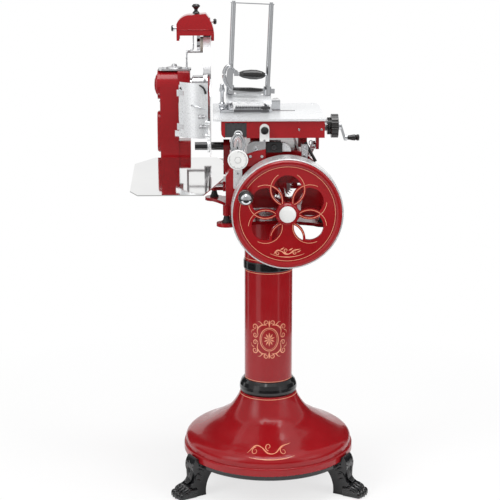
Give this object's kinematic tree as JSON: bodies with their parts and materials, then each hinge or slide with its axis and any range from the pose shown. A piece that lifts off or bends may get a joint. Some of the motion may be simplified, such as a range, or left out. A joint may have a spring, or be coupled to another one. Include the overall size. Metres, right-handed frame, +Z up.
{
  "type": "hand crank meat slicer on a pedestal",
  "caption": "Flywheel meat slicer, red enamel, on a cast trumpet pedestal with paw feet; moving carriage, feed screw, clamp and sharpener.",
  "frame": {"origin": "middle of the footprint of the whole machine, on the floor", "axes": "+Z up; +Y from the user across the machine, the way the carriage travels back; +X to the user's right"},
  "size_m": [0.7243, 0.7283, 1.5224],
  "materials": {
    "red_enamel": "gloss",
    "black_iron": "gloss",
    "grey_cast": "satin",
    "bright_steel": "brushed",
    "dark_steel": "satin",
    "mirror_steel": "mirror",
    "chrome": "polished",
    "pale_steel": "polished",
    "blade_steel": "polished",
    "black_grip": "gloss",
    "rubber_foot": "matte",
    "stone": "matte"
  },
  "bodies": {
    "frame": {"pedestal_feet": "black_iron", "base_flare": "red_enamel", "column_collars": "black_iron", "column": "red_enamel", "head_plate": "red_enamel", "machine_feet": "rubber_foot", "base_frame": "red_enamel", "carriage_rails": "bright_steel", "rail_brackets": "grey_cast", "chain_case": "red_enamel", "case_cover": "red_enamel", "bearing_cap": "red_enamel", "case_top": "grey_cast", "blade_guard": "chrome", "dial_stand": "chrome", "receiving_tray": "mirror_steel", "drive_chain": "dark_steel", "sharpener_hood": "red_enamel"},
    "wheel": {"flywheel": "red_enamel", "rim_band": "bright_steel", "hub_cap": "chrome", "main_shaft": "bright_steel", "bevel_gear": "grey_cast", "handle_spindle": "chrome"},
    "wheel_grip": {"handle_grip": "black_grip"},
    "cross": {"cross_shaft": "bright_steel", "bevel_pinion": "dark_steel", "lower_sprocket": "dark_steel"},
    "crank": {"crank_gear": "grey_cast", "crank_arm": "dark_steel"},
    "knife": {"blade": "blade_steel", "blade_hub": "bright_steel", "blade_shaft": "bright_steel", "upper_sprocket": "dark_steel"},
    "deflector": {"deflector_plate": "pale_steel"},
    "gauge": {"gauge_plate": "pale_steel", "gauge_bar": "black_iron"},
    "dial": {"thickness_dial": "pale_steel"},
    "hood_screw": {"hood_knob": "black_grip"},
    "stone_slide": {"stone_carrier": "chrome"},
    "stone": {"grinding_stone": "stone"},
    "burr": {"burr_carrier": "chrome"},
    "carriage": {"carriage_body": "red_enamel", "meat_table": "pale_steel", "screw_bearing": "dark_steel", "stop_plate": "chrome"},
    "rod": {"connecting_rod": "bright_steel"},
    "index": {"index_knob": "black_grip"},
    "feed": {"feed_screw": "bright_steel", "feed_wheel": "black_grip", "feed_crank": "chrome"},
    "feed_grip": {"crank_grip": "black_grip"},
    "clamp": {"clamp_base": "chrome", "clamp_posts": "chrome"},
    "clamp_screw": {"clamp_knob": "pale_steel"},
    "press": {"clamp_slide": "chrome", "press_plate": "chrome", "hold_bar": "black_grip"},
    "lever": {"clamp_lever": "chrome", "clamp_grip": "black_grip"}
  },
  "joints": [
    {"name": "flywheel_spin", "type": "hinge", "parent": "frame", "child": "wheel", "pos_m": [0.0969, -0.183, 0.925], "axis": [0, 1, 0], "continuous": true},
    {"name": "wheel_grip_spin", "type": "hinge", "parent": "wheel", "child": "wheel_grip", "pos_m": [-0.02583, -0.303, 0.99026], "axis": [0, 1, 0], "continuous": true},
    {"name": "cross_spin", "type": "hinge", "parent": "frame", "child": "cross", "pos_m": [-0.0871, 0.207, 0.925], "axis": [1, 0, 0], "continuous": true},
    {"name": "crank_spin", "type": "hinge", "parent": "frame", "child": "crank", "pos_m": [0.0529, 0.207, 1], "axis": [1, 0, 0], "continuous": true},
    {"name": "blade_spin", "type": "hinge", "parent": "frame", "child": "knife", "pos_m": [-0.1671, 0.207, 1.2494], "axis": [1, 0, 0], "continuous": true},
    {"name": "carriage_slide", "type": "slide", "parent": "frame", "child": "carriage", "axis": [0, 1, 0], "range_m": [0, 0.206]},
    {"name": "rod_swing", "type": "hinge", "parent": "carriage", "child": "rod", "pos_m": [0.1799, -0.11112, 1.105], "axis": [1, 0, 0], "range_deg": [-37, 15]},
    {"name": "feed_turn", "type": "hinge", "parent": "carriage", "child": "feed", "pos_m": [0.2029, -0.003, 1.146], "axis": [1, 0, 0], "range_deg": [0, 4680]},
    {"name": "feed_grip_spin", "type": "hinge", "parent": "feed", "child": "feed_grip", "pos_m": [0.3079, -0.003, 1.11], "axis": [1, 0, 0], "continuous": true},
    {"name": "clamp_feed", "type": "slide", "parent": "carriage", "child": "clamp", "axis": [1, 0, 0], "range_m": [0, 0.13]},
    {"name": "press_slide", "type": "slide", "parent": "clamp", "child": "press", "axis": [0.0436, 0, 0.999], "range_m": [-0.006, 0.21]},
    {"name": "lever_swing", "type": "hinge", "parent": "press", "child": "lever", "pos_m": [-0.0647, -0.033, 1.25736], "axis": [0, 1, 0], "range_deg": [-35, 0]},
    {"name": "clamp_screw_turn", "type": "hinge", "parent": "clamp", "child": "clamp_screw", "pos_m": [0.0744, 0.027, 1.2133], "axis": [0, 1, 0], "range_deg": [-360, 360]},
    {"name": "index_pull", "type": "slide", "parent": "carriage", "child": "index", "axis": [0, -1, 0], "range_m": [0, 0.004], "stiffness_N_per_m": 600, "springref_m": -0.003},
    {"name": "dial_turn", "type": "hinge", "parent": "frame", "child": "dial", "pos_m": [-0.0461, -0.183, 1.076], "axis": [0, 1, 0], "range_deg": [0, 300]},
    {"name": "gauge_slide", "type": "slide", "parent": "frame", "child": "gauge", "axis": [-1, 0, 0], "range_m": [0, 0.003]},
    {"name": "deflector_swing", "type": "hinge", "parent": "frame", "child": "deflector", "pos_m": [-0.2191, 0.0845, 1.19], "axis": [0, 0, 1], "range_deg": [-60, 0]},
    {"name": "hood_screw_turn", "type": "hinge", "parent": "frame", "child": "hood_screw", "pos_m": [-0.1691, 0.207, 1.47], "axis": [0, 0, 1], "range_deg": [-360, 360]},
    {"name": "stone_push", "type": "slide", "parent": "frame", "child": "stone_slide", "axis": [1, 0, 0], "range_m": [0, 0.0075], "stiffness_N_per_m": 300, "springref_m": -0.006},
    {"name": "stone_spin", "type": "hinge", "parent": "stone_slide", "child": "stone", "pos_m": [-0.1511, 0.207, 1.376], "axis": [1, 0, 0], "continuous": true},
    {"name": "burr_push", "type": "slide", "parent": "frame", "child": "burr", "axis": [-1, 0, 0], "range_m": [0, 0.0025], "stiffness_N_per_m": 300, "springref_m": -0.006}
  ],
  "couplings": [
    {"joint": "cross_spin", "follows": "flywheel_spin", "ratio": -2},
    {"joint": "blade_spin", "follows": "flywheel_spin", "ratio": -2},
    {"joint": "crank_spin", "follows": "flywheel_spin", "ratio": 0.5},
    {"joint": "feed_turn", "follows": "clamp_feed", "rad_per_m": 628.32},
    {"joint": "dial_turn", "follows": "gauge_slide", "rad_per_m": 1745.3}
  ]
}
